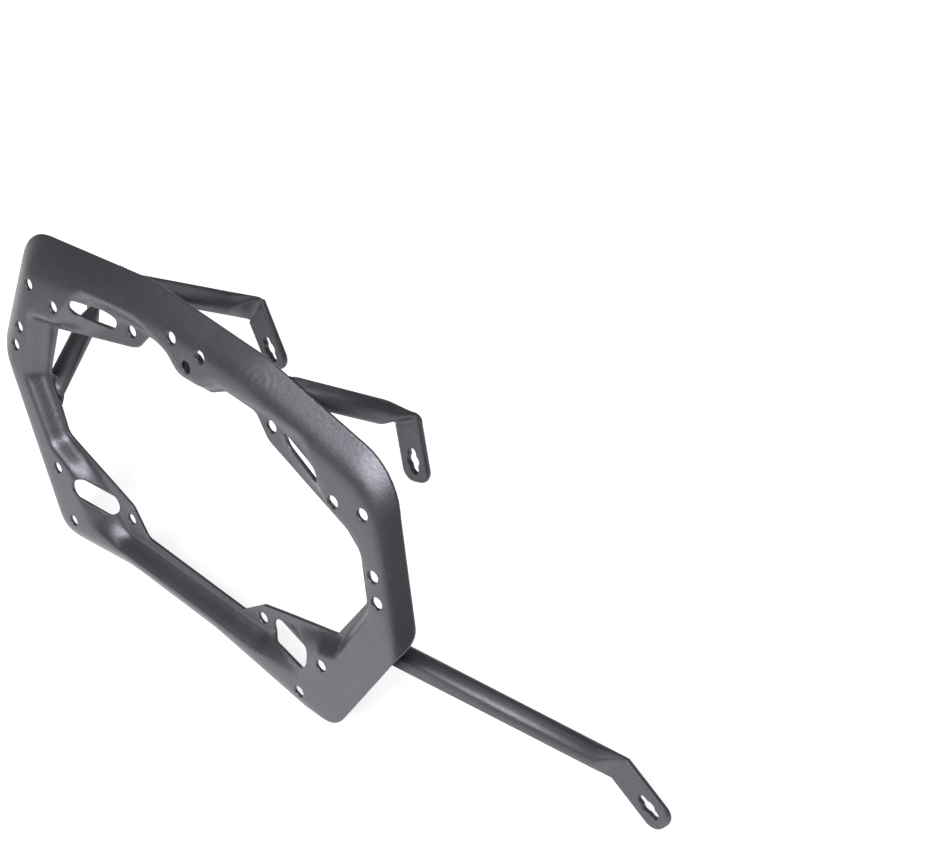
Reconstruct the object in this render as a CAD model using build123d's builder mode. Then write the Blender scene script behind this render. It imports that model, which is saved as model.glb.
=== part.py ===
"""Pannier frame: a pressed sheet-steel ring with four welded tubes that carry it on a vehicle."""

import os
from math import atan, atan2, cos, degrees, hypot, radians, sin, tan

from build123d import *

os.makedirs("parts", exist_ok=True)

# Sheet and pressing
sheet = 2.5
flange_depth = 11.0
recess_depth = 12.5
rim_radius = 12.0
lip_radius = 7.0
valley_radius = 3.0
back_radius = 4.0
notch_radius = lip_radius + 1.0
punch_hole = 8.5
slot_width = 15.0

# Tubes
tube_diameter = 16.0
tube_wall = 2.0
squash_width = 23.0
squash_thickness = 2 * tube_wall
squash_length = 30.0
fold_to_hole = 29.0
hole_to_tip = 15.5
key_hole = 9.5
key_slot = 6.5
key_length = 18.0
tip_radius = 9.0
mount_depth = 86.0

# Threaded bush and welds
boss_diameter = 12.0
boss_length = 8.0
boss_thread = 6.8
weld_leg = 4.0
weld_edge = 0.3

# How the plate leans back when the frame stands on its lower rail and its strut
lean = 7.7

tube_radius = tube_diameter / 2
lean_rad = radians(lean)

# The plate's own plane: x along the lower rail, y up the plate, z out of its outer face
face = Plane(
    origin=(0, 0, 0),
    x_dir=(1, 0, 0),
    z_dir=(0, -cos(lean_rad), sin(lean_rad)),
)

# Corners as along, up, radius: where the rim ends, and where the web turns into the rim
rim_edge = [
    (-34.0, 244.5, 38.0),
    (-74.5, 135.0, 18.0),
    (-8.0, -1.5, 14.0),
    (70.0, 10.5, 60.0),
    (165.0, 9.0, 100.0),
    (284.0, -5.0, 14.0),
    (345.4, 112.0, 16.0),
    (316.0, 225.0, 30.0),
    (205.0, 251.0, 80.0),
    (100.0, 259.0, 80.0),
]
web_edge = [
    (-27.0, 222.0, 20.0),
    (-58.0, 136.0, 14.0),
    (2.5, 12.5, 10.0),
    (72.0, 25.0, 50.0),
    (165.0, 24.0, 90.0),
    (290.6, 8.0, 10.0),
    (338.9, 99.7, 10.0),
    (311.0, 208.0, 16.0),
    (196.0, 237.0, 60.0),
    (112.0, 243.0, 60.0),
]
# The side that runs from the lower corner to the strut has no rim: the web is cut off plain there
plain_side = 5
plain_margin = 10.0
run_out = (246.0, -1.0, 20.0)
web_run = (266.0, 9.6, 20.0)
lower_corner = (292.7, 13.2, 24.0)
outer_corner = (345.1, 114.4, 26.0)

# The recess: its mouth in the web, and its floor
mouth = [
    (-26.0, 182.0, 5.0),
    (-33.0, 130.0, 8.0),
    (-8.0, 82.0, 12.0),
    (13.0, 71.5, 10.0),
    (37.0, 30.0, 10.0),
    (250.0, 31.0, 10.0),
    (266.0, 66.0, 6.0),
    (288.0, 71.0, 6.0),
    (313.0, 122.0, 5.0),
    (306.5, 155.0, 12.0),
    (297.0, 173.0, 8.0),
    (268.0, 181.5, 10.0),
    (241.0, 220.0, 10.0),
    (170.0, 220.0, 5.0),
    (158.0, 209.5, notch_radius),
    (136.0, 209.5, notch_radius),
    (124.0, 222.0, 6.0),
    (92.0, 231.0, 20.0),
    (34.0, 227.0, 10.0),
    (4.0, 188.0, 8.0),
]
floor = [
    (-22.0, 175.0, 4.0),
    (-31.0, 129.0, 7.0),
    (-5.0, 84.5, 6.0),
    (30.0, 73.0, 8.0),
    (56.0, 34.0, 8.0),
    (229.0, 34.0, 8.0),
    (254.0, 67.0, 6.0),
    (284.0, 75.0, 5.0),
    (305.0, 119.0, 4.0),
    (298.0, 148.0, 10.0),
    (287.0, 164.5, 6.0),
    (247.0, 178.0, 10.0),
    (223.0, 209.0, 8.0),
    (168.0, 210.0, 5.0),
    (154.5, 202.5, 5.0),
    (126.0, 201.0, 5.0),
    (115.0, 209.5, 6.0),
    (96.0, 217.0, 12.0),
    (52.0, 217.0, 10.0),
    (20.0, 186.0, 8.0),
]

# The opening, cut through the floor of the recess
opening = [
    (-10.8, 174.2, 4.0),
    (-23.1, 131.8, 12.0),
    (-3.3, 88.5, 10.0),
    (69.7, 62.7, 10.0),
    (86.2, 43.9, 8.0),
    (189.0, 41.4, 6.0),
    (208.6, 57.6, 5.0),
    (277.9, 76.9, 2.5),
    (300.5, 116.5, 2.5),
    (292.0, 151.0, 12.0),
    (280.0, 161.5, 12.0),
    (208.0, 190.8, 14.0),
    (196.0, 206.0, 8.0),
    (168.6, 207.6, 5.0),
    (155.0, 200.2, 4.0),
    (125.0, 198.6, 6.0),
    (108.0, 212.5, 8.0),
    (92.0, 213.5, 4.0),
    (81.0, 200.0, 4.0),
    (74.0, 197.0, 4.0),
]

# Round holes in the web and in the four tabs
web_holes = [
    (-22.9, 208.3),
    (4.5, 202.0),
    (-38.3, 168.0),
    (-44.6, 150.5),
    (130.1, 233.8),
    (157.5, 232.3),
    (278.2, 187.5),
    (302.6, 191.5),
    (314.4, 151.9),
    (319.3, 134.5),
    (276.2, 55.8),
    (257.5, 20.6),
    (-1.3, 65.0),
    (15.0, 25.7),
]
tab_holes = [
    (74.3, 209.4),
    (210.7, 202.2),
    (208.3, 46.2),
    (68.2, 50.6),
]
boss_place = (144.5, 219.3)

# Slots down the slope, each from its end on the web to its end on the tab
slots = [
    ((28.8, 208.5), (51.0, 209.5)),
    ((255.5, 196.5), (232.0, 201.5)),
    ((254.0, 47.7), (226.2, 47.3)),
    ((22.9, 57.5), (47.0, 52.8)),
]

# Tubes: a point on the axis inside the root, then the fold where the flattened end turns
left_arm_root = (62.0, 246.9, 0.0)
left_arm_fold = (114.8, 218.8, -mount_depth)
left_arm_tab = (0.571, -0.821, 0.0)
left_arm_rim = 9
right_arm_root = (227.6, 245.0, 0.0)
right_arm_fold = (258.1, 201.0, -mount_depth)
right_arm_tab = (0.316, -0.949, 0.0)
right_arm_rim = 7
strut_root = (299.0, 92.8, -8.8)
strut_fold = (457.1, 38.3, -mount_depth)
strut_tab = (0.876, -0.483, 0.0)
side_root = (-16.8, 118.5, -10.0)
side_fold = (-95.5, 119.0, -105.9)
side_tab = (-0.79, 0.10, -0.607)
side_tab_facing = (-0.70, 0.41, 0.58)


def moved_out(corners, gaps):
    """Corners of an outline whose sides are moved outward, each by its own gap."""
    count = len(corners)
    lines = []
    for i in range(count):
        a = corners[i]
        b = corners[(i + 1) % count]
        length = hypot(b[0] - a[0], b[1] - a[1])
        along = ((b[0] - a[0]) / length, (b[1] - a[1]) / length)
        side = (along[1], -along[0])
        lines.append((a[0] + side[0] * gaps[i], a[1] + side[1] * gaps[i], along))
    grown = []
    for i in range(count):
        p, q = lines[i - 1], lines[i]
        turn = p[2][0] * q[2][1] - p[2][1] * q[2][0]
        reach = ((q[0] - p[0]) * q[2][1] - (q[1] - p[1]) * q[2][0]) / turn
        gap = (gaps[i - 1] + gaps[i]) / 2
        radius = corners[i][2] + (gap if turn > 0 else -gap)
        grown.append((p[0] + p[2][0] * reach, p[1] + p[2][1] * reach, max(radius, 1.0)))
    return grown


def side_widths(upper, lower):
    """How far each side of one outline lies from the matching side of another."""
    count = len(upper)
    widths = []
    for i in range(count):
        a, b = upper[i], upper[(i + 1) % count]
        c, d = lower[i], lower[(i + 1) % count]
        length = hypot(b[0] - a[0], b[1] - a[1])
        mid = ((c[0] + d[0] - a[0] - b[0]) / 2, (c[1] + d[1] - a[1] - b[1]) / 2)
        widths.append(abs(mid[0] * (b[1] - a[1]) - mid[1] * (b[0] - a[0])) / length)
    return widths


def trace(corners):
    """A filled outline with a rounded corner at each point."""
    with BuildLine() as border:
        FilletPolyline(
            *[(c[0], c[1]) for c in corners],
            radius=[c[2] for c in corners],
            close=True,
        )
    make_face(border.edges())


def dish(upper, upper_level, lower, lower_level, rounded_level, radius):
    """A solid with straight sloped sides between two outlines, its edges rounded at one level."""
    with BuildPart() as body:
        with BuildSketch(face.offset(upper_level)) as top:
            trace(upper)
        with BuildSketch(face.offset(lower_level)) as bottom:
            trace(lower)
        loft([top.sketch, bottom.sketch], ruled=True)
        fillet(level_edges(body.edges(), rounded_level), radius)
    return body.part


def level_edges(edges, level):
    """The edges that lie at one level of the plate."""
    return [
        e
        for e in edges
        if all(abs(face.to_local_coords(e @ t).Z - level) < 0.01 for t in (0, 0.3, 0.7, 1))
    ]


def at(place):
    """A point given along, up and out of the plate."""
    return face.from_local_coords(Vector(*place))


def toward(heading):
    """A direction given along, up and out of the plate."""
    return (at(heading) - face.origin).normalized()


def squash_section(plane, amount, stretch):
    """Tube section, from round at 0 to two walls pressed together at 1."""
    corner = radians(22.5)
    corner_x = (1 - amount) * tube_radius * cos(corner) + amount * (squash_width - squash_thickness) / 2
    corner_y = ((1 - amount) * tube_radius * sin(corner) + amount * squash_thickness / 2) * stretch
    tip = (1 - amount) * tube_radius + amount * squash_width / 2
    top = ((1 - amount) * tube_radius + amount * squash_thickness / 2) * stretch
    with BuildSketch(plane) as section:
        with BuildLine() as border:
            if amount < 1:
                ThreePointArc((corner_x, corner_y), (0, top), (-corner_x, corner_y))
                ThreePointArc((-corner_x, -corner_y), (0, -top), (corner_x, -corner_y))
                ThreePointArc((-corner_x, corner_y), (-tip, 0), (-corner_x, -corner_y))
                ThreePointArc((corner_x, -corner_y), (tip, 0), (corner_x, corner_y))
            else:
                Line((corner_x, corner_y), (-corner_x, corner_y))
                Line((-corner_x, -corner_y), (corner_x, -corner_y))
                EllipticalCenterArc((-corner_x, 0), tip - corner_x, corner_y, start_angle=90, arc_size=180)
                EllipticalCenterArc((corner_x, 0), tip - corner_x, corner_y, start_angle=-90, arc_size=180)
        make_face(border.edges())
    return section.sketch


def leg(root, seat, fold, tab, facing, plate):
    """A tube cut to its seat, pressed flat at the far end, folded and pierced with a keyhole."""
    axis = (fold - root).normalized()
    across = facing.cross(tab).normalized()
    tab_normal = tab.cross(across)
    flat = (axis - across * axis.dot(across)).normalized()
    half_turn = radians(flat.get_angle(tab)) / 2
    crease = (flat + tab).normalized()
    side = (across - axis * across.dot(axis)).normalized()
    tube_end = fold - axis * squash_length
    sections = []
    for step in range(3):
        along = step / 2
        amount = along * along * (3 - 2 * along)
        normal = (axis * (1 - along) + crease * along).normalized()
        width = side * (1 - along) + across * along
        width = (width - normal * width.dot(normal)).normalized()
        here = Plane(tube_end + axis * (squash_length * along), x_dir=width, z_dir=normal)
        sections.append(squash_section(here, amount, 1 + (1 / cos(half_turn) - 1) * along))
    reach = fold_to_hole + hole_to_tip
    with BuildPart() as end:
        with BuildSketch(Plane(fold, x_dir=across, z_dir=tab)) as walls:
            SlotOverall(squash_width, squash_thickness)
        extrude(walls.sketch, amount=2 * reach, both=True)
        split(bisect_by=Plane(fold, z_dir=crease), keep=Keep.TOP)
        with BuildSketch(Plane(fold, x_dir=tab, z_dir=tab_normal)) as outline:
            with BuildLine() as border:
                FilletPolyline(
                    (-reach, -squash_width),
                    (0, -squash_width),
                    (0, -squash_width / 2),
                    (reach, -squash_width / 2),
                    (reach, squash_width / 2),
                    (0, squash_width / 2),
                    (0, squash_width),
                    (-reach, squash_width),
                    radius=[0, 0, 0, tip_radius, tip_radius, 0, 0, 0],
                    close=True,
                )
            make_face(border.edges())
            with Locations((fold_to_hole, 0)):
                Circle(key_hole / 2, mode=Mode.SUBTRACT)
                SlotOverall(key_length, key_slot, mode=Mode.SUBTRACT)
        extrude(outline.sketch, amount=squash_width, both=True, mode=Mode.INTERSECT)
    with BuildPart() as body:
        with BuildSketch(Plane(root, x_dir=side, z_dir=axis)) as ring:
            Circle(tube_radius)
        extrude(ring.sketch, amount=(tube_end - root).length)
        loft(sections, ruled=True)
        add(end.part)
        with BuildSketch(Plane(root, x_dir=side, z_dir=axis)) as bore:
            Circle(tube_radius - tube_wall)
        extrude(bore.sketch, amount=(tube_end - root).length, mode=Mode.SUBTRACT)
        split(bisect_by=seat, keep=Keep.TOP)
        add(plate, mode=Mode.SUBTRACT)
    return body.part.solids().sort_by(SortBy.VOLUME)[-1]


def bead(root, fold, seat, allowed, taken):
    """A fillet of weld round a tube at its seat, kept inside one region and clear of what is there."""
    axis = (fold - root).normalized()
    slant = axis.dot(seat.z_dir)
    foot = root + axis * ((seat.origin - root).dot(seat.z_dir) / slant)
    tilt = (axis - seat.z_dir * slant).normalized()
    rings = []
    for height, radius in ((0, tube_radius + weld_leg), (weld_leg, tube_radius + weld_edge)):
        here = Plane(foot + axis * (height / slant), x_dir=tilt, z_dir=seat.z_dir)
        with BuildSketch(here) as ring:
            Ellipse(radius / slant, radius)
        rings.append(ring.sketch)
    with BuildPart() as body:
        loft(rings, ruled=True)
        add(allowed, mode=Mode.INTERSECT)
        for solid in taken:
            add(solid, mode=Mode.SUBTRACT)
        with BuildSketch(Plane(root, z_dir=axis)) as core:
            Circle(tube_radius)
        extrude(core.sketch, amount=2 * tube_diameter, both=True, mode=Mode.SUBTRACT)
    return body.part


# Wall angles give the sheet its even thickness on every slope
rim_angles = [atan(flange_depth / max(w, 0.1)) for w in side_widths(web_edge, rim_edge)]
outer_gaps = [0.0] * len(rim_edge)
outer_gaps[plain_side] = plain_margin
inner_web_gaps = [-sheet * tan(a / 2) for a in rim_angles]
inner_rim_gaps = [-sheet / sin(a) for a in rim_angles]
inner_web_gaps[plain_side] = 2 * plain_margin
inner_rim_gaps[plain_side] = 2 * plain_margin
wall_gaps = [
    sheet * tan(atan(recess_depth / max(w, 0.1)) / 2) for w in side_widths(mouth, floor)
]

# Outline that trims the plain side: the rim runs out towards the lower corner, and both ends are rounded
bottom_mid, side_corner, top_corner = rim_edge[4], rim_edge[6], rim_edge[7]
trim_edge = [
    (bottom_mid[0], -3 * plain_margin, 1.0),
    (bottom_mid[0], bottom_mid[1] - 0.3, 1.0),
    run_out,
    web_run,
    lower_corner,
    outer_corner,
    (2 * top_corner[0] - side_corner[0] + 0.3, 2 * top_corner[1] - side_corner[1], 1.0),
    (-side_corner[0], 2 * top_corner[1] - side_corner[1], 1.0),
    (-side_corner[0], -3 * plain_margin, 1.0),
]

pressed = dish(
    moved_out(web_edge, outer_gaps), 0, moved_out(rim_edge, outer_gaps), -flange_depth, 0, rim_radius
)
hollow = dish(
    moved_out(web_edge, inner_web_gaps),
    -sheet,
    moved_out(rim_edge, inner_rim_gaps),
    -flange_depth,
    -sheet,
    rim_radius - sheet,
)
plug = dish(
    moved_out(mouth, wall_gaps),
    -sheet,
    moved_out(floor, wall_gaps),
    -recess_depth - sheet,
    -recess_depth - sheet,
    back_radius,
)
recess = dish(mouth, 0, floor, -recess_depth, -recess_depth, valley_radius)

# Pressed plate
with BuildPart() as carrier_plate:
    add(pressed)
    add(hollow, mode=Mode.SUBTRACT)
    add(plug)
    add(recess, mode=Mode.SUBTRACT)
    fillet(level_edges(carrier_plate.edges(Select.LAST), 0), lip_radius)
    with BuildSketch(face.offset(recess_depth)) as trim:
        trace(trim_edge)
    extrude(amount=-4 * recess_depth, mode=Mode.INTERSECT)
    with BuildSketch(face.offset(recess_depth)) as cuts:
        trace(opening)
        with Locations(*web_holes, *tab_holes, boss_place):
            Circle(punch_hole / 2)
        for start, end in slots:
            run = hypot(end[0] - start[0], end[1] - start[1])
            turn = degrees(atan2(end[1] - start[1], end[0] - start[0]))
            with Locations(((start[0] + end[0]) / 2, (start[1] + end[1]) / 2)):
                SlotCenterToCenter(run, slot_width, rotation=turn)
    extrude(amount=-4 * recess_depth, mode=Mode.SUBTRACT)

# Seats of the tubes: behind the rim for the arms, the web for the strut, the recess floor for the side
inner_web = moved_out(web_edge, inner_web_gaps)
inner_rim = moved_out(rim_edge, inner_rim_gaps)


def rim_back(side):
    """The plane of the rim's back along one side, facing away from the sheet."""
    start = at((inner_web[side][0], inner_web[side][1], -sheet))
    after = (side + 1) % len(inner_web)
    stop = at((inner_web[after][0], inner_web[after][1], -sheet))
    low = at((inner_rim[side][0], inner_rim[side][1], -flange_depth))
    return Plane(start, x_dir=stop - start, z_dir=(stop - start).cross(low - start))


into_sheet = -0.4
backward = -face.z_dir
left_seat = rim_back(left_arm_rim)
right_seat = rim_back(right_arm_rim)
web_seat = Plane(at((0, 0, -sheet)), x_dir=face.x_dir, z_dir=backward)
floor_seat = Plane(at((0, 0, -recess_depth - sheet)), x_dir=face.x_dir, z_dir=backward)
strut_axis = (at(strut_fold) - at(strut_root)).normalized()

upper_left_arm = leg(
    at(left_arm_root),
    left_seat.offset(into_sheet),
    at(left_arm_fold),
    toward(left_arm_tab),
    face.z_dir,
    carrier_plate.part,
)
upper_right_arm = leg(
    at(right_arm_root),
    right_seat.offset(into_sheet),
    at(right_arm_fold),
    toward(right_arm_tab),
    face.z_dir,
    carrier_plate.part,
)
lower_strut = leg(
    at(strut_root),
    Plane(at(strut_root), z_dir=strut_axis),
    at(strut_fold),
    toward(strut_tab),
    face.z_dir,
    carrier_plate.part,
)
side_strut = leg(
    at(side_root), floor_seat, at(side_fold), toward(side_tab), toward(side_tab_facing), carrier_plate.part
)

# Threaded bush behind the middle hole of the top rail
with BuildPart() as threaded_boss:
    with BuildSketch(web_seat) as bush:
        with Locations((boss_place[0], -boss_place[1])):
            Circle(boss_diameter / 2)
            Circle(boss_thread / 2, mode=Mode.SUBTRACT)
    extrude(amount=boss_length)

# Weld beads, one round each root
with BuildPart() as behind_plate:
    with BuildSketch(web_seat.offset(-sheet)) as plate_shadow:
        Rectangle(4 * side_corner[0], 4 * side_corner[0])
    extrude(amount=8 * recess_depth)
with BuildPart() as recess_floor:
    with BuildSketch(face.offset(-recess_depth)) as floor_shadow:
        trace(moved_out(floor, wall_gaps))
    extrude(floor_shadow.sketch, amount=-2 * recess_depth)
    with BuildSketch(face.offset(-recess_depth)) as opening_shadow:
        trace(opening)
    extrude(opening_shadow.sketch, amount=-2 * recess_depth, mode=Mode.SUBTRACT)

solid_plate = [carrier_plate.part]
upper_left_weld = bead(
    at(left_arm_root), at(left_arm_fold), left_seat.offset(into_sheet), hollow, solid_plate
)
upper_right_weld = bead(
    at(right_arm_root), at(right_arm_fold), right_seat.offset(into_sheet), hollow, solid_plate
)
strut_weld = bead(at(strut_root), at(strut_fold), web_seat, behind_plate.part, solid_plate)
strut_weld = strut_weld.solids().sort_by(Axis(face.origin, face.x_dir))[-1]
side_welds = bead(at(side_root), at(side_fold), floor_seat, recess_floor.part, solid_plate).solids()
side_welds = side_welds.sort_by(Axis(face.origin, face.y_dir))

pieces = {
    "carrier_plate": carrier_plate.part,
    "upper_left_arm": upper_left_arm,
    "upper_right_arm": upper_right_arm,
    "lower_strut": lower_strut,
    "side_strut": side_strut,
    "threaded_boss": threaded_boss.part,
    "upper_left_weld": upper_left_weld,
    "upper_right_weld": upper_right_weld,
    "strut_weld": strut_weld,
    "side_weld_lower": side_welds[0],
    "side_weld_upper": side_welds[-1],
}

# The frame's origin is under the middle of the whole, on the surface it stands on
boxes = [piece.bounding_box() for piece in pieces.values()]
middle_x = (min(b.min.X for b in boxes) + max(b.max.X for b in boxes)) / 2
middle_y = (min(b.min.Y for b in boxes) + max(b.max.Y for b in boxes)) / 2
lowest = min(b.min.Z for b in boxes)
to_origin = Location((-middle_x, -middle_y, -lowest))
for name, piece in pieces.items():
    placed = piece.moved(to_origin)
    placed.label = name
    export_step(placed, "parts/" + name + ".step")
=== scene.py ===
"""Pannier frame, dressed: satin black powder coat on its pressed plate, tubes and welds, on a white floor."""

from math import cos, pi, radians, sin

import bpy
import numpy as np
from mathutils import Matrix, Vector
from mathutils.geometry import delaunay_2d_cdt


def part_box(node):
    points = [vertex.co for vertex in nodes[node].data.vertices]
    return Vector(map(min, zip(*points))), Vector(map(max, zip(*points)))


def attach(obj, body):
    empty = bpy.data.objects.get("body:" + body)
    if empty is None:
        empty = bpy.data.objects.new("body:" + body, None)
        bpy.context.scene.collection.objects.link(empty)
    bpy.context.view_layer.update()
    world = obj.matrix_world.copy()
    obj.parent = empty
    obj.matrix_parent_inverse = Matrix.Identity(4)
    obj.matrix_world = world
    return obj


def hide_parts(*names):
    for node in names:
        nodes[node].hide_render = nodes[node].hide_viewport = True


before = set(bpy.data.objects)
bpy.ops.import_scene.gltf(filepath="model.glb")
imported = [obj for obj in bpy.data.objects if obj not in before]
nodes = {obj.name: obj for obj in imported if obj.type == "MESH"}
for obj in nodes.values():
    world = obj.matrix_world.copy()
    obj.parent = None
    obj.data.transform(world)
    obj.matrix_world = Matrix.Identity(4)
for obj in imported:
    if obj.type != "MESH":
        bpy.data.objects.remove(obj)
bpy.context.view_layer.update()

millimetre = 0.001

# The plate's own directions: along its lower rail, up its face, and out of its outer face
plate_lean = radians(7.7)
along = Vector((1, 0, 0))
up = Vector((0, sin(plate_lean), cos(plate_lean)))
out = Vector((0, -cos(plate_lean), sin(plate_lean)))

# The bush gives the plate's place in the frame: along, up and out of the plate, in metres
bush_middle = (0.1445, 0.2193, -0.0065)
bush_low, bush_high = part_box("threaded_boss")
plate_origin = (bush_low + bush_high) / 2
plate_origin -= along * bush_middle[0] + up * bush_middle[1] + out * bush_middle[2]


def heading(a, b, c):
    """A direction given along, up and out of the plate."""
    return (along * a + up * b + out * c).normalized()


def on_plate(place):
    """A point given along, up and out of the plate, in millimetres."""
    return plate_origin + millimetre * (along * place[0] + up * place[1] + out * place[2])


# Tubes, in millimetres along, up and out of the plate: a point on the axis at the root, the fold of the
# pressed end, the way that its tab runs and the way that the tab faces
mount_level = -86.0
legs = {
    "upper_left_arm": ((62.0, 246.9, 0.0), (114.8, 218.8, mount_level), (0.571, -0.821, 0.0), (0, 0, 1)),
    "upper_right_arm": ((227.6, 245.0, 0.0), (258.1, 201.0, mount_level), (0.316, -0.949, 0.0), (0, 0, 1)),
    "lower_strut": ((299.0, 92.8, -8.8), (457.1, 38.3, mount_level), (0.876, -0.483, 0.0), (0, 0, 1)),
    "side_strut": (
        (-16.8, 118.5, -10.0),
        (-95.5, 119.0, -105.9),
        (-0.79, 0.10, -0.607),
        (-0.675, 0.407, 0.615),
    ),
}
tube_radius = 8.0
tube_points = 48
squash_half = 2.0
squash_run = 19.0
squash_rings = 20
squash_corner = 3.0
fold_radius = 6.0
fold_rings = 10
fold_to_hole = 29.0
hole_to_tip = 15.5
tip_radius = 9.0
tab_round = 1.5
tab_overlap = 2.0
tab_corner = 0.6
tab_step = 1.0
tab_pitch = 2.0
tube_end_tuck = 0.15
key_radius = 4.75
key_slot_radius = 3.25
key_slot_reach = 9.0
weld_leg = 4.0
weld_skin = 0.05
weld_reach = 1.0
weld_margin = 0.8
weld_ripples = 26
weld_ripple_share = 0.07
weld_ripple_points = 8
weld_bow_rings = 7
seat_depth = 5.0
seat_search = 40.0
seat_tries = 161

# Welds round the tubes' roots, and the tube of each
weld_tube = {
    "upper_left_weld": "upper_left_arm",
    "upper_right_weld": "upper_right_arm",
    "strut_weld": "lower_strut",
    "side_weld_lower": "side_strut",
    "side_weld_upper": "side_strut",
}

# The pressed plate's outlines, in millimetres as along, up and corner radius: the web, and the rim that
# bends back
web_edge = [
    (-27.0, 222.0, 20.0),
    (-58.0, 136.0, 14.0),
    (2.5, 12.5, 10.0),
    (72.0, 25.0, 50.0),
    (165.0, 24.0, 90.0),
    (301.2, 6.7, 10.0),
    (342.6, 85.2, 10.0),
    (311.0, 208.0, 28.0),
    (196.0, 237.0, 60.0),
    (112.0, 243.0, 60.0),
]
rim_edge = [
    (-34.0, 244.5, 38.0),
    (-74.5, 135.0, 18.0),
    (-8.0, -1.5, 14.0),
    (70.0, 10.5, 60.0),
    (165.0, 9.0, 100.0),
    (294.7, -6.2, 14.0),
    (349.1, 97.5, 14.0),
    (316.0, 225.0, 44.0),
    (205.0, 251.0, 80.0),
    (100.0, 259.0, 80.0),
]
# The cut edge: the rim, but trimmed plain from the lower corner to the long strut
cut_edge = rim_edge[:5] + [
    (246.0, -1.0, 20.0),
    (266.0, 9.6, 20.0),
    (292.7, 13.2, 24.0),
    (345.1, 114.4, 26.0),
] + rim_edge[7:]
# The recess, from its mouth in the web down to its floor, and the opening in that floor
mouth = [
    (-26.0, 182.0, 5.0),
    (-33.0, 130.0, 8.0),
    (-8.0, 82.0, 12.0),
    (13.0, 71.5, 10.0),
    (37.0, 30.0, 10.0),
    (256.0, 30.0, 10.0),
    (271.0, 65.0, 6.0),
    (288.0, 71.0, 6.0),
    (313.0, 122.0, 5.0),
    (306.5, 155.0, 12.0),
    (297.0, 173.0, 8.0),
    (274.0, 180.0, 10.0),
    (250.0, 220.0, 10.0),
    (170.0, 220.0, 5.0),
    (158.0, 209.5, 5.0),
    (136.0, 209.5, 6.0),
    (124.0, 222.0, 6.0),
    (92.0, 231.0, 20.0),
    (34.0, 227.0, 10.0),
    (4.0, 188.0, 8.0),
]
floor_edge = [
    (-22.0, 175.0, 4.0),
    (-31.0, 129.0, 7.0),
    (-5.0, 84.5, 6.0),
    (38.0, 70.0, 8.0),
    (66.0, 34.0, 8.0),
    (213.0, 34.0, 8.0),
    (244.0, 64.5, 6.0),
    (284.0, 75.0, 5.0),
    (305.0, 119.0, 4.0),
    (298.0, 148.0, 10.0),
    (287.0, 164.5, 6.0),
    (240.0, 181.0, 10.0),
    (214.0, 209.0, 8.0),
    (168.0, 210.0, 5.0),
    (154.5, 202.5, 5.0),
    (126.0, 201.0, 5.0),
    (115.0, 209.5, 6.0),
    (96.0, 217.0, 12.0),
    (67.0, 217.0, 10.0),
    (24.0, 187.5, 8.0),
]
opening = [
    (-10.8, 174.2, 4.0),
    (-23.1, 131.8, 12.0),
    (-3.3, 88.5, 10.0),
    (69.7, 62.7, 10.0),
    (86.2, 43.9, 8.0),
    (189.0, 41.4, 6.0),
    (208.6, 57.6, 5.0),
    (277.9, 76.9, 2.5),
    (300.5, 116.5, 2.5),
    (292.0, 151.0, 12.0),
    (280.0, 161.5, 12.0),
    (208.0, 190.8, 14.0),
    (196.0, 206.0, 8.0),
    (168.6, 207.6, 5.0),
    (155.0, 200.2, 4.0),
    (125.0, 198.6, 6.0),
    (108.0, 212.5, 8.0),
    (92.0, 213.5, 4.0),
    (81.0, 200.0, 4.0),
    (74.0, 197.0, 4.0),
]
round_holes = [
    (-22.9, 208.3),
    (4.5, 202.0),
    (-38.3, 168.0),
    (-44.6, 150.5),
    (130.1, 233.8),
    (157.5, 232.3),
    (278.2, 187.5),
    (302.6, 191.5),
    (314.4, 151.9),
    (319.3, 134.5),
    (276.2, 55.8),
    (257.5, 20.6),
    (-1.3, 65.0),
    (15.0, 25.7),
    (74.3, 209.4),
    (210.7, 202.2),
    (208.3, 46.2),
    (68.2, 50.6),
    (144.5, 219.3),
]
slots = [
    ((28.8, 208.5), (51.0, 209.5)),
    ((255.5, 196.5), (232.0, 201.5)),
    ((254.0, 47.7), (226.2, 47.3)),
    ((22.9, 57.5), (47.0, 52.8)),
]
hole_radius = 4.25
slot_radius = 7.5
sheet = 2.5
rim_drop = 11.0
rim_overrun = 1.6
recess_drop = 12.5
rim_softness = 5.0
recess_softness = 2.2
edge_rings = (0.5, 1.3)
edge_break = 0.12
opening_step = 1.2
edge_step = 1.4
hole_points = 30
plate_pitch = 2.2

# The grid that the pressing is worked out on
grid_low = (-100.0, -30.0)
grid_size = (470, 310)
grid_pitch = 1.0

# Finish
coat_dark = (0.1, 0.098, 0.113, 1)
coat_light = (0.155, 0.152, 0.175, 1)
coat_flake = 0.8
# Painted shade: the colour that the tubes' seam groove is darkened to
seam_painted_shade = (0.07, 0.07, 0.078, 1)
seam_half_width = 0.0004
weld_print = (208.6, 238.4, -1.0)
weld_print_step = 0.005
lathe_step = 0.0008
crease_angle = radians(28)
merge_reach = 0.00001


def add_node(tree, kind, inputs=(), **settings):
    """A shader node with its settings; each input is a plain value or the socket that feeds it."""
    made = tree.nodes.new(kind)
    for name, value in settings.items():
        setattr(made, name, value)
    for name, value in dict(inputs).items():
        if isinstance(value, bpy.types.NodeSocket):
            tree.links.new(value, made.inputs[name])
        else:
            made.inputs[name].default_value = value
    return made


def maths(tree, operation, first, second=0.0):
    """The result of one sum on one or two values."""
    made = tree.nodes.new("ShaderNodeMath")
    made.operation = operation
    for socket, value in zip(made.inputs, (first, second)):
        if isinstance(value, bpy.types.NodeSocket):
            tree.links.new(value, socket)
        else:
            socket.default_value = value
    return made.outputs["Value"]


def blank(name):
    """A new material, its empty tree and its object coordinates."""
    material = bpy.data.materials.new(name)
    material.use_nodes = True
    tree = material.node_tree
    tree.nodes.clear()
    place = add_node(tree, "ShaderNodeTexCoord").outputs["Object"]
    return material, tree, place


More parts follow.
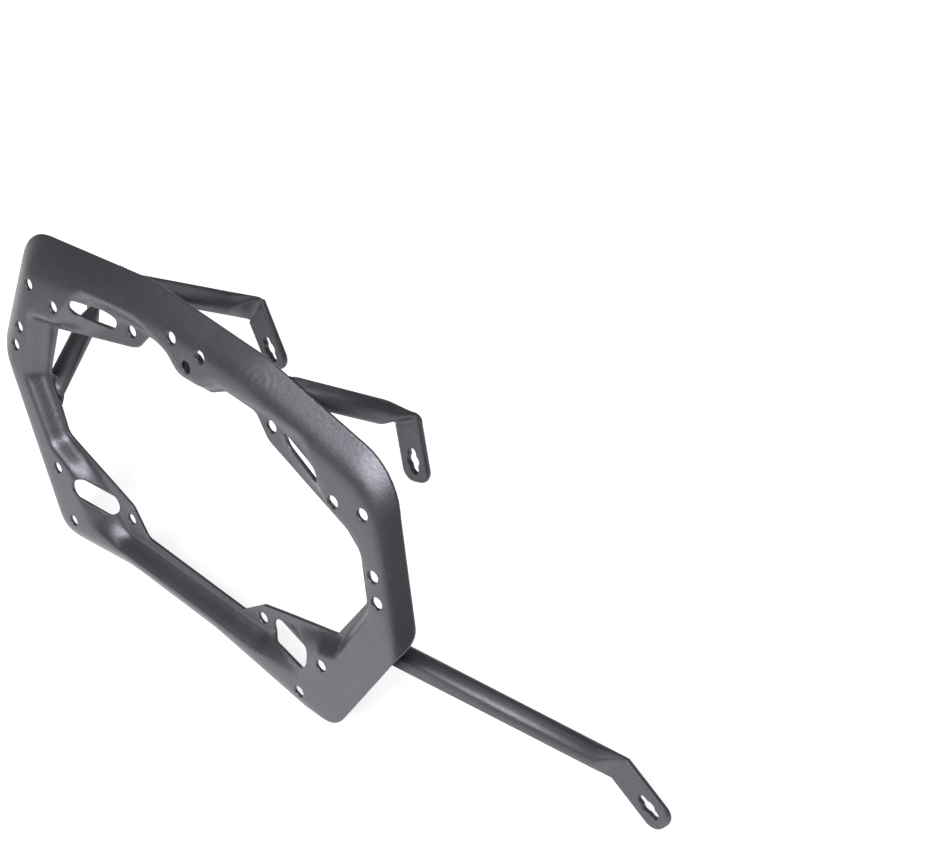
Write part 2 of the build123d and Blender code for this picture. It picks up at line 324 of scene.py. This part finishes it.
def noise(tree, place, scale, detail):
    """Soft random values from 0 to 1."""
    made = add_node(tree, "ShaderNodeTexNoise", {"Vector": place, "Scale": scale, "Detail": detail})
    return made.outputs["Fac"]


def stretch(tree, value, low, high, to_low, to_high):
    """A value carried from one range to another and held at its ends."""
    made = add_node(
        tree,
        "ShaderNodeMapRange",
        {"Value": value, "From Min": low, "From Max": high, "To Min": to_low, "To Max": to_high},
    )
    return made.outputs["Result"]


def relief(tree, height, depth, strength, below=None):
    """A bump of the given depth in metres, laid over the bump below it."""
    inputs = {"Height": height, "Distance": depth, "Strength": strength}
    if below is not None:
        inputs["Normal"] = below
    return add_node(tree, "ShaderNodeBump", inputs).outputs["Normal"]


def coat_tone(tree, place):
    """The coat's colour: near black, clouded over centimetres and speckled grain by grain."""
    clouds = noise(tree, place, 22.0, 3.0)
    speckle = noise(tree, place, 1500.0, 2.0)
    cloud_share = stretch(tree, clouds, 0.3, 0.7, 0.0, 0.4)
    speckle_share = stretch(tree, speckle, 0.35, 0.7, 0.0, 0.6)
    share = maths(tree, "ADD", cloud_share, speckle_share)
    mix = add_node(tree, "ShaderNodeMix", {0: share, 6: coat_dark, 7: coat_light}, data_type="RGBA")
    return mix.outputs[2]


def coat_relief(tree, place):
    """The coat's skin: grains of half a millimetre on a soft orange peel."""
    peel = relief(tree, noise(tree, place, 260.0, 2.0), 0.0003, 0.25)
    return relief(tree, noise(tree, place, 1500.0, 2.0), 0.0002, 0.3, peel)


def coat(tree, place, colour, normal, rough_low, rough_high):
    """The satin shader, its gloss uneven over a few millimetres."""
    rough = stretch(tree, noise(tree, place, 420.0, 3.0), 0.3, 0.7, rough_low, rough_high)
    shader = add_node(
        tree,
        "ShaderNodeBsdfPrincipled",
        {"Base Color": colour, "Metallic": coat_flake, "Roughness": rough, "Normal": normal, "IOR": 1.5},
    )
    output = add_node(tree, "ShaderNodeOutputMaterial")
    tree.links.new(shader.outputs["BSDF"], output.inputs["Surface"])


def plate_coat():
    """Coat of the pressed sheet, with the faint rings that a weld behind it prints through the rim."""
    material, tree, place = blank("pressed_sheet_coat")
    offset = add_node(tree, "ShaderNodeVectorMath", {0: place, 1: on_plate(weld_print)}, operation="DISTANCE")
    reach = offset.outputs["Value"]
    wave = maths(tree, "SINE", maths(tree, "MULTIPLY", reach, 2 * pi / weld_print_step))
    fade = stretch(tree, reach, 0.006, 0.016, 1.0, 0.0)
    normal = relief(tree, maths(tree, "MULTIPLY", wave, fade), 0.0002, 0.12, coat_relief(tree, place))
    coat(tree, place, coat_tone(tree, place), normal, 0.34, 0.42)
    return material


def tube_coat(name, fold, facing):
    """Coat of one tube, with the seam where its two walls are pressed together: a bumped groove, darkened
    with painted shade.
    """
    material, tree, place = blank(name + "_coat")
    offset = add_node(tree, "ShaderNodeVectorMath", {0: place, 1: fold}, operation="SUBTRACT")
    level = add_node(
        tree, "ShaderNodeVectorMath", {0: offset.outputs["Vector"], 1: facing}, operation="DOT_PRODUCT"
    )
    gap = maths(tree, "ABSOLUTE", level.outputs["Value"])
    groove = stretch(tree, gap, 0.0, seam_half_width, 0.0, 1.0)
    normal = relief(tree, groove, seam_half_width, 0.8, coat_relief(tree, place))
    # Painted shade: the colour goes from the coat's tone to the darker seam shade inside the groove
    colour = add_node(
        tree, "ShaderNodeMix", {0: groove, 6: seam_painted_shade, 7: coat_tone(tree, place)}, data_type="RGBA"
    )
    coat(tree, place, colour.outputs[2], normal, 0.42, 0.5)
    return material


def weld_coat(name, root, axis):
    """Coat over a weld, rippled by the turn round the tube: the sine of that angle times the ripple count."""
    material, tree, place = blank(name + "_coat")
    turned = add_node(
        tree,
        "ShaderNodeMapping",
        {"Vector": place, "Location": root, "Rotation": axis.to_track_quat("Z", "Y").to_euler()},
        vector_type="TEXTURE",
    )
    turn = add_node(
        tree, "ShaderNodeTexGradient", {"Vector": turned.outputs["Vector"]}, gradient_type="RADIAL"
    )
    ripple = maths(tree, "SINE", maths(tree, "MULTIPLY", turn.outputs["Fac"], 2 * pi * weld_ripples))
    normal = relief(tree, ripple, 0.0006, 0.4, coat_relief(tree, place))
    coat(tree, place, coat_tone(tree, place), normal, 0.36, 0.48)
    return material


def bush_coat():
    """Coat of the threaded bush, with the rings that the lathe left on it."""
    material, tree, place = blank("bush_coat")
    level = add_node(tree, "ShaderNodeVectorMath", {0: place, 1: out}, operation="DOT_PRODUCT")
    ring = maths(tree, "SINE", maths(tree, "MULTIPLY", level.outputs["Value"], 2 * pi / lathe_step))
    normal = relief(tree, ring, 0.00008, 0.5, coat_relief(tree, place))
    coat(tree, place, coat_tone(tree, place), normal, 0.36, 0.48)
    return material


def rounded(corners, steps=9):
    """An outline's points: at each corner an arc about the point that lies one radius from both sides,
    its spokes turned evenly from the first tangent point to the second."""
    arcs = []
    turn_share = np.linspace(0, 1, steps)[:, None]
    for i, corner in enumerate(corners):
        here = np.array(corner[:2])
        ahead = np.array(corners[(i + 1) % len(corners)][:2]) - here
        behind = np.array(corners[i - 1][:2]) - here
        ahead /= np.hypot(*ahead)
        behind /= np.hypot(*behind)
        half = np.arccos(np.clip(ahead @ behind, -1, 1)) / 2
        middle = here + (ahead + behind) / np.hypot(*(ahead + behind)) * corner[2] / np.sin(half)
        first = here + behind * corner[2] / np.tan(half) - middle
        last = here + ahead * corner[2] / np.tan(half) - middle
        angle = pi - 2 * half
        spokes = np.sin((1 - turn_share) * angle) * first + np.sin(turn_share * angle) * last
        arcs.append(middle + spokes / np.sin(angle))
    return np.concatenate(arcs)


def evenly(points, spacing):
    """A closed line cut again into even steps: places read off its running length."""
    closed = np.vstack([points, points[:1]])
    run = np.concatenate([[0], np.cumsum(np.hypot(*np.diff(closed, axis=0).T))])
    stops = np.linspace(0, run[-1], int(run[-1] / spacing) + 1)[:-1]
    return np.stack([np.interp(stops, run, closed[:, k]) for k in (0, 1)], 1)


def ring(middle, radius, count):
    """Points evenly round a circle."""
    angle = np.arange(count) * 2 * pi / count
    return np.array(middle) + radius * np.stack([np.cos(angle), np.sin(angle)], 1)


def capsule(start, stop, radius, steps=14):
    """Points round a slot: a half circle about each of its two ends."""
    start, stop = np.array(start), np.array(stop)
    bearing = np.arctan2(*(stop - start)[::-1])
    sweep = np.linspace(-pi / 2, pi / 2, steps)
    near = np.stack([np.cos(bearing + pi + sweep), np.sin(bearing + pi + sweep)], 1)
    far = np.stack([np.cos(bearing + sweep), np.sin(bearing + sweep)], 1)
    return np.vstack([start + radius * near, stop + radius * far])


def outside(places, line):
    """Distance of each place from a closed line, counted positive outside it: the least distance to any of
    its straight steps, with the sign from how often a ray to the right crosses them."""
    near = np.full(len(places), np.inf)
    inside = np.zeros(len(places), bool)
    for a, b in zip(line, np.roll(line, -1, 0)):
        step = b - a
        along_step = np.clip((places - a) @ step / max(step @ step, 1e-12), 0, 1)
        near = np.minimum(near, np.hypot(*(places - a - along_step[:, None] * step).T))
        crosses = (a[1] > places[:, 1]) != (b[1] > places[:, 1])
        with np.errstate(divide="ignore", invalid="ignore"):
            reach = a[0] + (places[:, 1] - a[1]) * step[0] / step[1]
        inside ^= crosses & (places[:, 0] < reach)
    return np.where(inside, -near, near)


def softened(field, reach):
    """A grid of values averaged with a bell curve, first along one side and then along the other."""
    width = int(4 * reach)
    bell = np.exp(-0.5 * (np.arange(-width, width + 1) / reach) ** 2)
    bell /= bell.sum()
    padded = np.pad(field, width, mode="edge")
    rows = sum(w * padded[k:k + field.shape[0], :] for k, w in enumerate(bell))
    return sum(w * rows[:, k:k + field.shape[1]] for k, w in enumerate(bell))


def press_depth():
    """The pressed sheet's level on a grid: between the web's edge and the rim, and between the recess's mouth
    and its floor, the depth grows with the share of the way across, and the press softens both."""
    steps = np.meshgrid(*[np.arange(n) * grid_pitch for n in grid_size], indexing="ij")
    grid = np.array(grid_low) + np.stack(steps, -1).reshape(-1, 2)
    past_web = np.maximum(outside(grid, rounded(web_edge)), 0)
    past_rim = outside(grid, rounded(rim_edge))
    rim_share = np.clip(past_web / np.maximum(past_web - past_rim, 1.0), 0, rim_overrun)
    in_mouth = np.maximum(-outside(grid, rounded(mouth)), 0)
    off_floor = np.maximum(outside(grid, rounded(floor_edge)), 0)
    recess_share = in_mouth / np.maximum(in_mouth + off_floor, 1e-6)
    rim = softened(rim_share.reshape(grid_size), rim_softness / grid_pitch)
    recess = softened(recess_share.reshape(grid_size), recess_softness / grid_pitch)
    return -rim_drop * rim - recess_drop * recess


depth = press_depth()
slope_along, slope_up = np.gradient(depth, grid_pitch)
plate_back = depth - sheet * np.sqrt(1 + slope_along**2 + slope_up**2)


def read_grid(values, places):
    """Values of a grid at places between its points, weighted by nearness to the four points around each."""
    spot = (places - np.array(grid_low)) / grid_pitch
    cell = np.clip(np.floor(spot).astype(int), 0, np.array(grid_size) - 2)
    x, y = (spot - cell).T
    i, j = cell.T
    lower = values[i, j] * (1 - x) + values[i + 1, j] * x
    upper = values[i, j + 1] * (1 - x) + values[i + 1, j + 1] * x
    return lower * (1 - y) + upper * y


def beside(line, reach):
    """A closed line moved sideways, outwards by the reach: each point along the normal of its neighbours."""
    ahead = np.roll(line, -1, 0) - np.roll(line, 1, 0)
    side = np.stack([ahead[:, 1], -ahead[:, 0]], 1) / np.hypot(*ahead.T)[:, None]
    x, y = line.T
    return line + np.sign(x @ np.roll(y, -1) - y @ np.roll(x, -1)) * reach * side


def filled(border, cuts, pitch):
    """Flat places and triangles between a border and its cuts: the lines' own points, the rings beside them
    and a staggered grid."""
    low, high = border.min(0), border.max(0)
    steps = [np.arange(start, stop, pitch) for start, stop in zip(low, high)]
    across, rise = np.meshgrid(*steps, indexing="ij")
    rise[1::2] += pitch / 2
    grid = np.stack([across.ravel(), rise.ravel()], 1)
    keep = outside(grid, border) < -edge_rings[-1] - pitch / 2
    for cut in cuts:
        keep &= outside(grid, cut) > edge_rings[-1] + pitch / 2
    lines = [border] + [beside(border, -gap) for gap in edge_rings]
    lines += cuts + [beside(cut, gap) for cut in cuts for gap in edge_rings]
    firsts = np.cumsum([0] + [len(line) for line in lines])
    edges = [
        np.stack([first + np.arange(len(line)), first + (np.arange(len(line)) + 1) % len(line)], 1)
        for first, line in zip(firsts, lines)
    ]
    points = np.vstack(lines + [grid[keep]])
    flat, _, faces, *_ = delaunay_2d_cdt(points.tolist(), np.vstack(edges).tolist(), [], 0, 1e-6)
    flat = np.array(flat)
    faces = np.array(faces)
    middles = flat[faces].mean(1)
    solid = outside(middles, border) < 0
    for cut in cuts:
        solid &= outside(middles, cut) > 0
    return flat, faces[solid]


def thickened(front, back, faces):
    """Places and faces of a closed wall: the front, the back turned round, and a strip along every open edge,
    with both corners of that edge broken by a share of the thickness."""
    count = len(front)
    sides = np.vstack([faces[:, [0, 1]], faces[:, [1, 2]], faces[:, [2, 0]]])
    key = np.sort(sides, 1) @ np.array((count, 1))
    _, first, times = np.unique(key, return_index=True, return_counts=True)
    a, b = sides[first[times == 1]].T
    strip = np.vstack([np.stack([b, a, a + count], 1), np.stack([b, a + count, b + count], 1)])
    broken = np.zeros((count, 1))
    broken[a] = edge_break
    through = broken * (back - front)
    return np.vstack([front + through, back - through]), np.vstack([faces, faces[:, ::-1] + count, strip])


def pressed_plate():
    """The sheet: its outlines filled with triangles, sunk to the pressed level, and its back one thickness
    behind along the slope's own normal."""
    cuts = [evenly(rounded(opening), opening_step)]
    cuts += [ring(hole, hole_radius, hole_points) for hole in round_holes]
    cuts += [capsule(start, stop, slot_radius) for start, stop in slots]
    flat, faces = filled(evenly(rounded(cut_edge), edge_step), cuts, plate_pitch)
    front = np.column_stack([flat, read_grid(depth, flat)])
    normal = np.column_stack([-read_grid(slope_along, flat), -read_grid(slope_up, flat), np.ones(len(flat))])
    back = front - sheet * normal / np.linalg.norm(normal, axis=1)[:, None]
    places, faces = thickened(front, back, faces)
    return piece("pressed_plate", places, faces)


def piece(name, places, faces):
    """A smooth mesh object from places given along, up and out of the plate."""
    mesh = bpy.data.meshes.new(name)
    axes = np.array([along, up, out])
    mesh.from_pydata((np.array(plate_origin) + millimetre * places @ axes).tolist(), [], faces.tolist())
    mesh.polygons.foreach_set("use_smooth", np.ones(len(mesh.polygons), bool))
    made = bpy.data.objects.new(name, mesh)
    bpy.context.scene.collection.objects.link(made)
    return made


def unit(direction):
    """A direction brought to length one."""
    return np.array(direction) / np.linalg.norm(direction)


def leg_lines(name):
    """A tube's root and fold, its axis, the line that it folds about, square to the axis and to the way that
    the tab faces, and the way that the fold turns the axis."""
    root, fold, _, facing = (np.array(value, float) for value in legs[name])
    axis = unit(fold - root)
    hinge = unit(np.cross(facing, axis))
    return root, fold, axis, hinge, unit(np.cross(hinge, facing))


def seat_runs(root, axis, offsets):
    """How far along the axis each line beside it comes clear of the plate: the first of many small steps that
    is behind the sheet, and inside the plate's edge or well behind it."""
    steps = np.linspace(0, seat_search, seat_tries)
    places = (root + offsets[:, None] + steps[:, None] * axis).reshape(-1, 3)
    behind = read_grid(plate_back, places[:, :2]) - places[:, 2]
    clear = (behind > 0) & ((outside(places[:, :2], rounded(cut_edge)) < 0) | (behind > seat_depth))
    return steps[np.argmax(clear.reshape(len(offsets), -1), 1)]


def round_offsets(axis, hinge, radius, count=tube_points):
    """Steps from a tube's axis to points evenly round it, from the fold's own direction on."""
    angle = np.arange(count) * 2 * pi / count
    return radius * (np.cos(angle)[:, None] * hinge + np.sin(angle)[:, None] * np.cross(axis, hinge))


def grid_faces(rows, columns):
    """Triangles of a grid of places that closes round its columns."""
    row, column = np.meshgrid(np.arange(rows - 1), np.arange(columns), indexing="ij")
    a = (row * columns + column).ravel()
    b = (row * columns + (column + 1) % columns).ravel()
    return np.vstack([np.stack([a, b, b + columns], 1), np.stack([a, b + columns, a + columns], 1)])


def squashed_tube(name):
    """A tube swept to its fold: round, then eased flat over the squash with its girth kept, so that the flats
    grow by a quarter turn of what the thickness loses, and last round the fold's arc."""
    root, fold, axis, hinge, turned = leg_lines(name)
    turn = np.arccos(axis @ turned)
    reach = fold_radius * np.tan(turn / 2)
    first = fold - axis * reach
    share = np.linspace(0, 1, squash_rings)[:, None]
    angle = np.linspace(0, turn, fold_rings)[1:, None]
    inward = unit(turned - axis * (turned @ axis))
    arc = first + fold_radius * ((1 - np.cos(angle)) * inward + np.sin(angle) * axis)
    centres = np.vstack([first - axis * squash_run * (1 - share), arc, arc[-1:] + turned])
    flatness = np.vstack([share * share * (3 - 2 * share), np.ones((len(arc) + 1, 1))])
    ahead = np.gradient(centres, axis=0)
    ahead /= np.linalg.norm(ahead, axis=1)[:, None]
    half = tube_radius + (squash_half - tube_radius) * flatness
    spread = pi / 2 * (tube_radius - half)
    half[-1] -= tube_end_tuck
    offsets = round_offsets(axis, hinge, tube_radius)
    turn_round = np.arange(len(offsets)) * 2 * pi / len(offsets)
    wide = half * np.cos(turn_round) + spread * np.clip(squash_corner * np.cos(turn_round), -1, 1)
    high = half * np.sin(turn_round)
    thick = np.cross(ahead, hinge)
    rings = centres[:, None] + wide[..., None] * hinge + high[..., None] * thick[:, None]
    seat = root + offsets + seat_runs(root, axis, offsets)[:, None] * axis
    places = np.vstack([seat, rings.reshape(-1, 3), seat.mean(0), centres[-1]])
    faces = grid_faces(len(rings) + 1, len(offsets))
    first_ring = np.arange(len(offsets))
    last_ring = first_ring + len(rings) * len(offsets)
    root_cap = np.stack([np.roll(first_ring, -1), first_ring, np.full(len(offsets), len(places) - 2)], 1)
    end_cap = np.stack([last_ring, np.roll(last_ring, -1), np.full(len(offsets), len(places) - 1)], 1)
    return places, np.vstack([faces, root_cap, end_cap])


def keyhole(middle, count=72):
    """Points round a keyhole: at each bearing the farther of a circle and of a slot along the tab."""
    bearing = np.arange(count) * 2 * pi / count
    c, s = np.abs(np.cos(bearing)), np.abs(np.sin(bearing))
    centre = key_slot_reach - key_slot_radius
    flank = key_slot_radius / np.maximum(s, 1e-9)
    end = centre * c + np.sqrt(np.maximum(key_slot_radius**2 - (centre * s) ** 2, 0))
    far = np.maximum(np.where(flank * c < centre, flank, end), key_radius)
    return np.array((middle, 0)) + far[:, None] * np.stack([np.cos(bearing), np.sin(bearing)], 1)


def pressed_tab(name):
    """A tab of two walls pressed together: its outline filled, and its rim rounded to a quarter circle by the
    distance from that outline."""
    _, fold, axis, hinge, turned = leg_lines(name)
    tab = unit(legs[name][2])
    across = unit(np.cross(legs[name][3], tab))
    begin = fold_radius * np.tan(np.arccos(axis @ turned) / 2) - tab_overlap
    side = squash_half + pi / 2 * (tube_radius - squash_half)
    skew = side * (hinge @ tab) / (hinge @ across)
    tip = fold_to_hole + hole_to_tip
    corners = [
        (begin - skew, -side, tab_corner),
        (tip, -side, tip_radius),
        (tip, side, tip_radius),
        (begin + skew, side, tab_corner),
    ]
    border = evenly(rounded(corners), tab_step)
    spots, faces = filled(border, [keyhole(fold_to_hole)], tab_pitch)
    inset = np.minimum(-np.minimum(outside(spots, border), 0), tab_round)
    level = squash_half - tab_round + np.sqrt(tab_round**2 - (tab_round - inset) ** 2)
    flats = fold + spots[:, :1] * tab + spots[:, 1:] * across
    lift = level[:, None] * np.cross(tab, across)
    return thickened(flats + lift, flats - lift, faces)


def leg(name):
    """One tube with its tab, in one object."""
    tube, tube_faces = squashed_tube(name)
    tab, tab_faces = pressed_tab(name)
    return piece(name + "_pressed", np.vstack([tube, tab]), np.vstack([tube_faces, tab_faces + len(tube)]))


def weld_bead(name, tube):
    """A bead round a tube's root: at each bearing a bowed line from the tube down to the plate's back, its
    leg rippled by a sine of the bearing, held inside the plate's edge and run out where the tube is clear."""
    root, _, axis, hinge, _ = leg_lines(tube)
    count = weld_ripple_points * weld_ripples
    inner = round_offsets(axis, hinge, tube_radius, count)
    run = seat_runs(root, axis, inner)[:, None]
    bearing = np.arange(count) * 2 * pi / count
    ripple = 1 + weld_ripple_share * np.sin(weld_ripples * bearing)[:, None]
    base = root + inner + run * axis
    room = -outside(base[:, :2], rounded(cut_edge))[:, None]
    clear = (read_grid(plate_back, base[:, :2]) - base[:, 2])[:, None] > weld_reach
    leg_out = np.where(clear, weld_skin, np.clip(room - weld_margin, weld_skin, weld_leg)) * ripple
    outer = inner * (1 + leg_out / tube_radius)
    foot = root + outer + seat_runs(root, axis, outer)[:, None] * axis
    top = base + leg_out * axis
    knee = (base + foot + top) / 3
    share = np.linspace(0, 1, weld_bow_rings)[:, None, None]
    bow = (1 - share) ** 2 * top + 2 * share * (1 - share) * knee + share**2 * foot
    places = np.concatenate([base[None], bow, base[None]])
    return piece(name + "_bead", places.reshape(-1, 3), grid_faces(len(places), count))


def dress(node, material):
    """Gives a node its material and shades it smooth, with its creases kept sharp."""
    mesh = node.data
    mesh.materials.clear()
    mesh.materials.append(material)
    mesh.polygons.foreach_set("use_smooth", np.ones(len(mesh.polygons), bool))
    weld = node.modifiers.new("joined", "WELD")
    weld.merge_threshold = merge_reach
    crease = node.modifiers.new("creases", "EDGE_SPLIT")
    crease.split_angle = crease_angle


def replace(made, material, node):
    """Puts a new piece in the place of a node."""
    made.data.materials.append(material)
    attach(made, "root")
    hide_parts(node)


replace(pressed_plate(), plate_coat(), "carrier_plate")
for name, (_, fold, _, facing) in legs.items():
    replace(leg(name), tube_coat(name, on_plate(fold), heading(*facing)), name)
for name, tube in weld_tube.items():
    root, fold = legs[tube][:2]
    material = weld_coat(name, on_plate(root), (on_plate(fold) - on_plate(root)).normalized())
    if name.startswith("side"):
        dress(nodes[name], material)
    else:
        replace(weld_bead(name, tube), material, name)
dress(nodes["threaded_boss"], bush_coat())


def sheet_of(name, corners, material):
    """A flat sheet through four corners."""
    mesh = bpy.data.meshes.new(name)
    mesh.from_pydata([tuple(c) for c in corners], [], [(0, 1, 2, 3)])
    mesh.materials.append(material)
    made = bpy.data.objects.new(name, mesh)
    bpy.context.scene.collection.objects.link(made)
    return made


floor_glow = 0.71


def floor_paint():
    """White floor that takes the shadow and shows as white to the camera and in the gloss."""
    material, tree, place = blank("floor_white")
    tone = stretch(tree, noise(tree, place, 3.0, 2.0), 0.3, 0.7, 0.79, 0.81)
    colour = add_node(tree, "ShaderNodeCombineColor", {"Red": tone, "Green": tone, "Blue": tone})
    matt = add_node(tree, "ShaderNodeBsdfDiffuse", {"Color": colour.outputs["Color"]})
    path = add_node(tree, "ShaderNodeLightPath")
    seen = maths(tree, "MAXIMUM", path.outputs["Is Camera Ray"], path.outputs["Is Glossy Ray"])
    seen = maths(tree, "MAXIMUM", seen, path.outputs["Is Transmission Ray"])
    glow = add_node(tree, "ShaderNodeEmission", {"Strength": maths(tree, "MULTIPLY", seen, floor_glow)})
    both = add_node(tree, "ShaderNodeAddShader", {0: matt.outputs["BSDF"], 1: glow.outputs["Emission"]})
    output = add_node(tree, "ShaderNodeOutputMaterial")
    tree.links.new(both.outputs["Shader"], output.inputs["Surface"])
    return material


def dark_reflection_paint():
    """Matt black of the sheets that only the gloss sees: painted dark reflections in the coat."""
    material, tree, place = blank("painted_reflection_black")
    tone = stretch(tree, noise(tree, place, 3.0, 2.0), 0.3, 0.7, 0.015, 0.025)
    colour = add_node(tree, "ShaderNodeCombineColor", {"Red": tone, "Green": tone, "Blue": tone})
    matt = add_node(tree, "ShaderNodeBsdfDiffuse", {"Color": colour.outputs["Color"]})
    output = add_node(tree, "ShaderNodeOutputMaterial")
    tree.links.new(matt.outputs["BSDF"], output.inputs["Surface"])
    return material


floor_reach = 4.0
sheet_of(
    "floor",
    [
        (-floor_reach, -floor_reach, 0),
        (floor_reach, -floor_reach, 0),
        (floor_reach, floor_reach, 0),
        (-floor_reach, floor_reach, 0),
    ],
    floor_paint(),
)


def softbox(name, place, aim, width, height, power):
    """A soft rectangular lamp turned towards a point."""
    lamp = bpy.data.lights.new(name, "AREA")
    lamp.shape = "RECTANGLE"
    lamp.size = width
    lamp.size_y = height
    lamp.energy = power
    made = bpy.data.objects.new(name, lamp)
    made.location = place
    made.rotation_euler = (Vector(aim) - Vector(place)).to_track_quat("-Z", "Y").to_euler()
    bpy.context.scene.collection.objects.link(made)
    return made


softbox("front_softbox", (0.24, -1.25, 1.15), (0.05, 0, 0.15), 1.2, 0.9, 26)
softbox("top_softbox", (0.1, 0.25, 1.7), (0, 0, 0), 1.6, 1.4, 5)

# Dark cards lie on the floor where only the gloss can see them, as painted dark reflections in the coat: low
# x, high x, low y and high y
card_height = 0.003
cards = {
    "right_card": (0.18, 1.4, -1.3, -0.14),
    "left_card": (-1.8, -0.45, -1.5, -0.3),
    "front_card": (-0.45, 0.18, -1.5, -0.5),
}
for name, (left, right, near, far) in cards.items():
    corners = [(left, near), (right, near), (right, far), (left, far)]
    card = sheet_of(name, [(*corner, card_height) for corner in corners], dark_reflection_paint())
    # Painted reflection: hidden from camera, diffuse light and shadow, so the card only darkens what the coat
    # reflects
    card.visible_camera = False
    card.visible_diffuse = False
    card.visible_shadow = False

world = bpy.data.worlds.new("studio")
bpy.context.scene.world = world
world.use_nodes = True
backing = world.node_tree.nodes["Background"]
backing.inputs["Color"].default_value = (1, 1, 1, 1)
backing.inputs["Strength"].default_value = 0.16

# The camera stands where the photograph was taken from
camera_place = Vector((0.5960, -0.5012, 0.7826))
camera_right = Vector((0.7482, 0.6634, 0.0054)).normalized()
camera_view = Vector((-0.5165, 0.5876, -0.6229)).normalized()
camera_up = camera_right.cross(camera_view).normalized()
camera = bpy.data.objects.new("camera", bpy.data.cameras.new("camera"))
camera.data.sensor_width = 36.0
camera.data.lens = 58.0
turn = Matrix((camera_right, camera_up, -camera_view)).transposed()
camera.matrix_world = Matrix.Translation(camera_place) @ turn.to_4x4()
bpy.context.scene.collection.objects.link(camera)
bpy.context.scene.camera = camera
bpy.context.scene.view_settings.view_transform = "Standard"
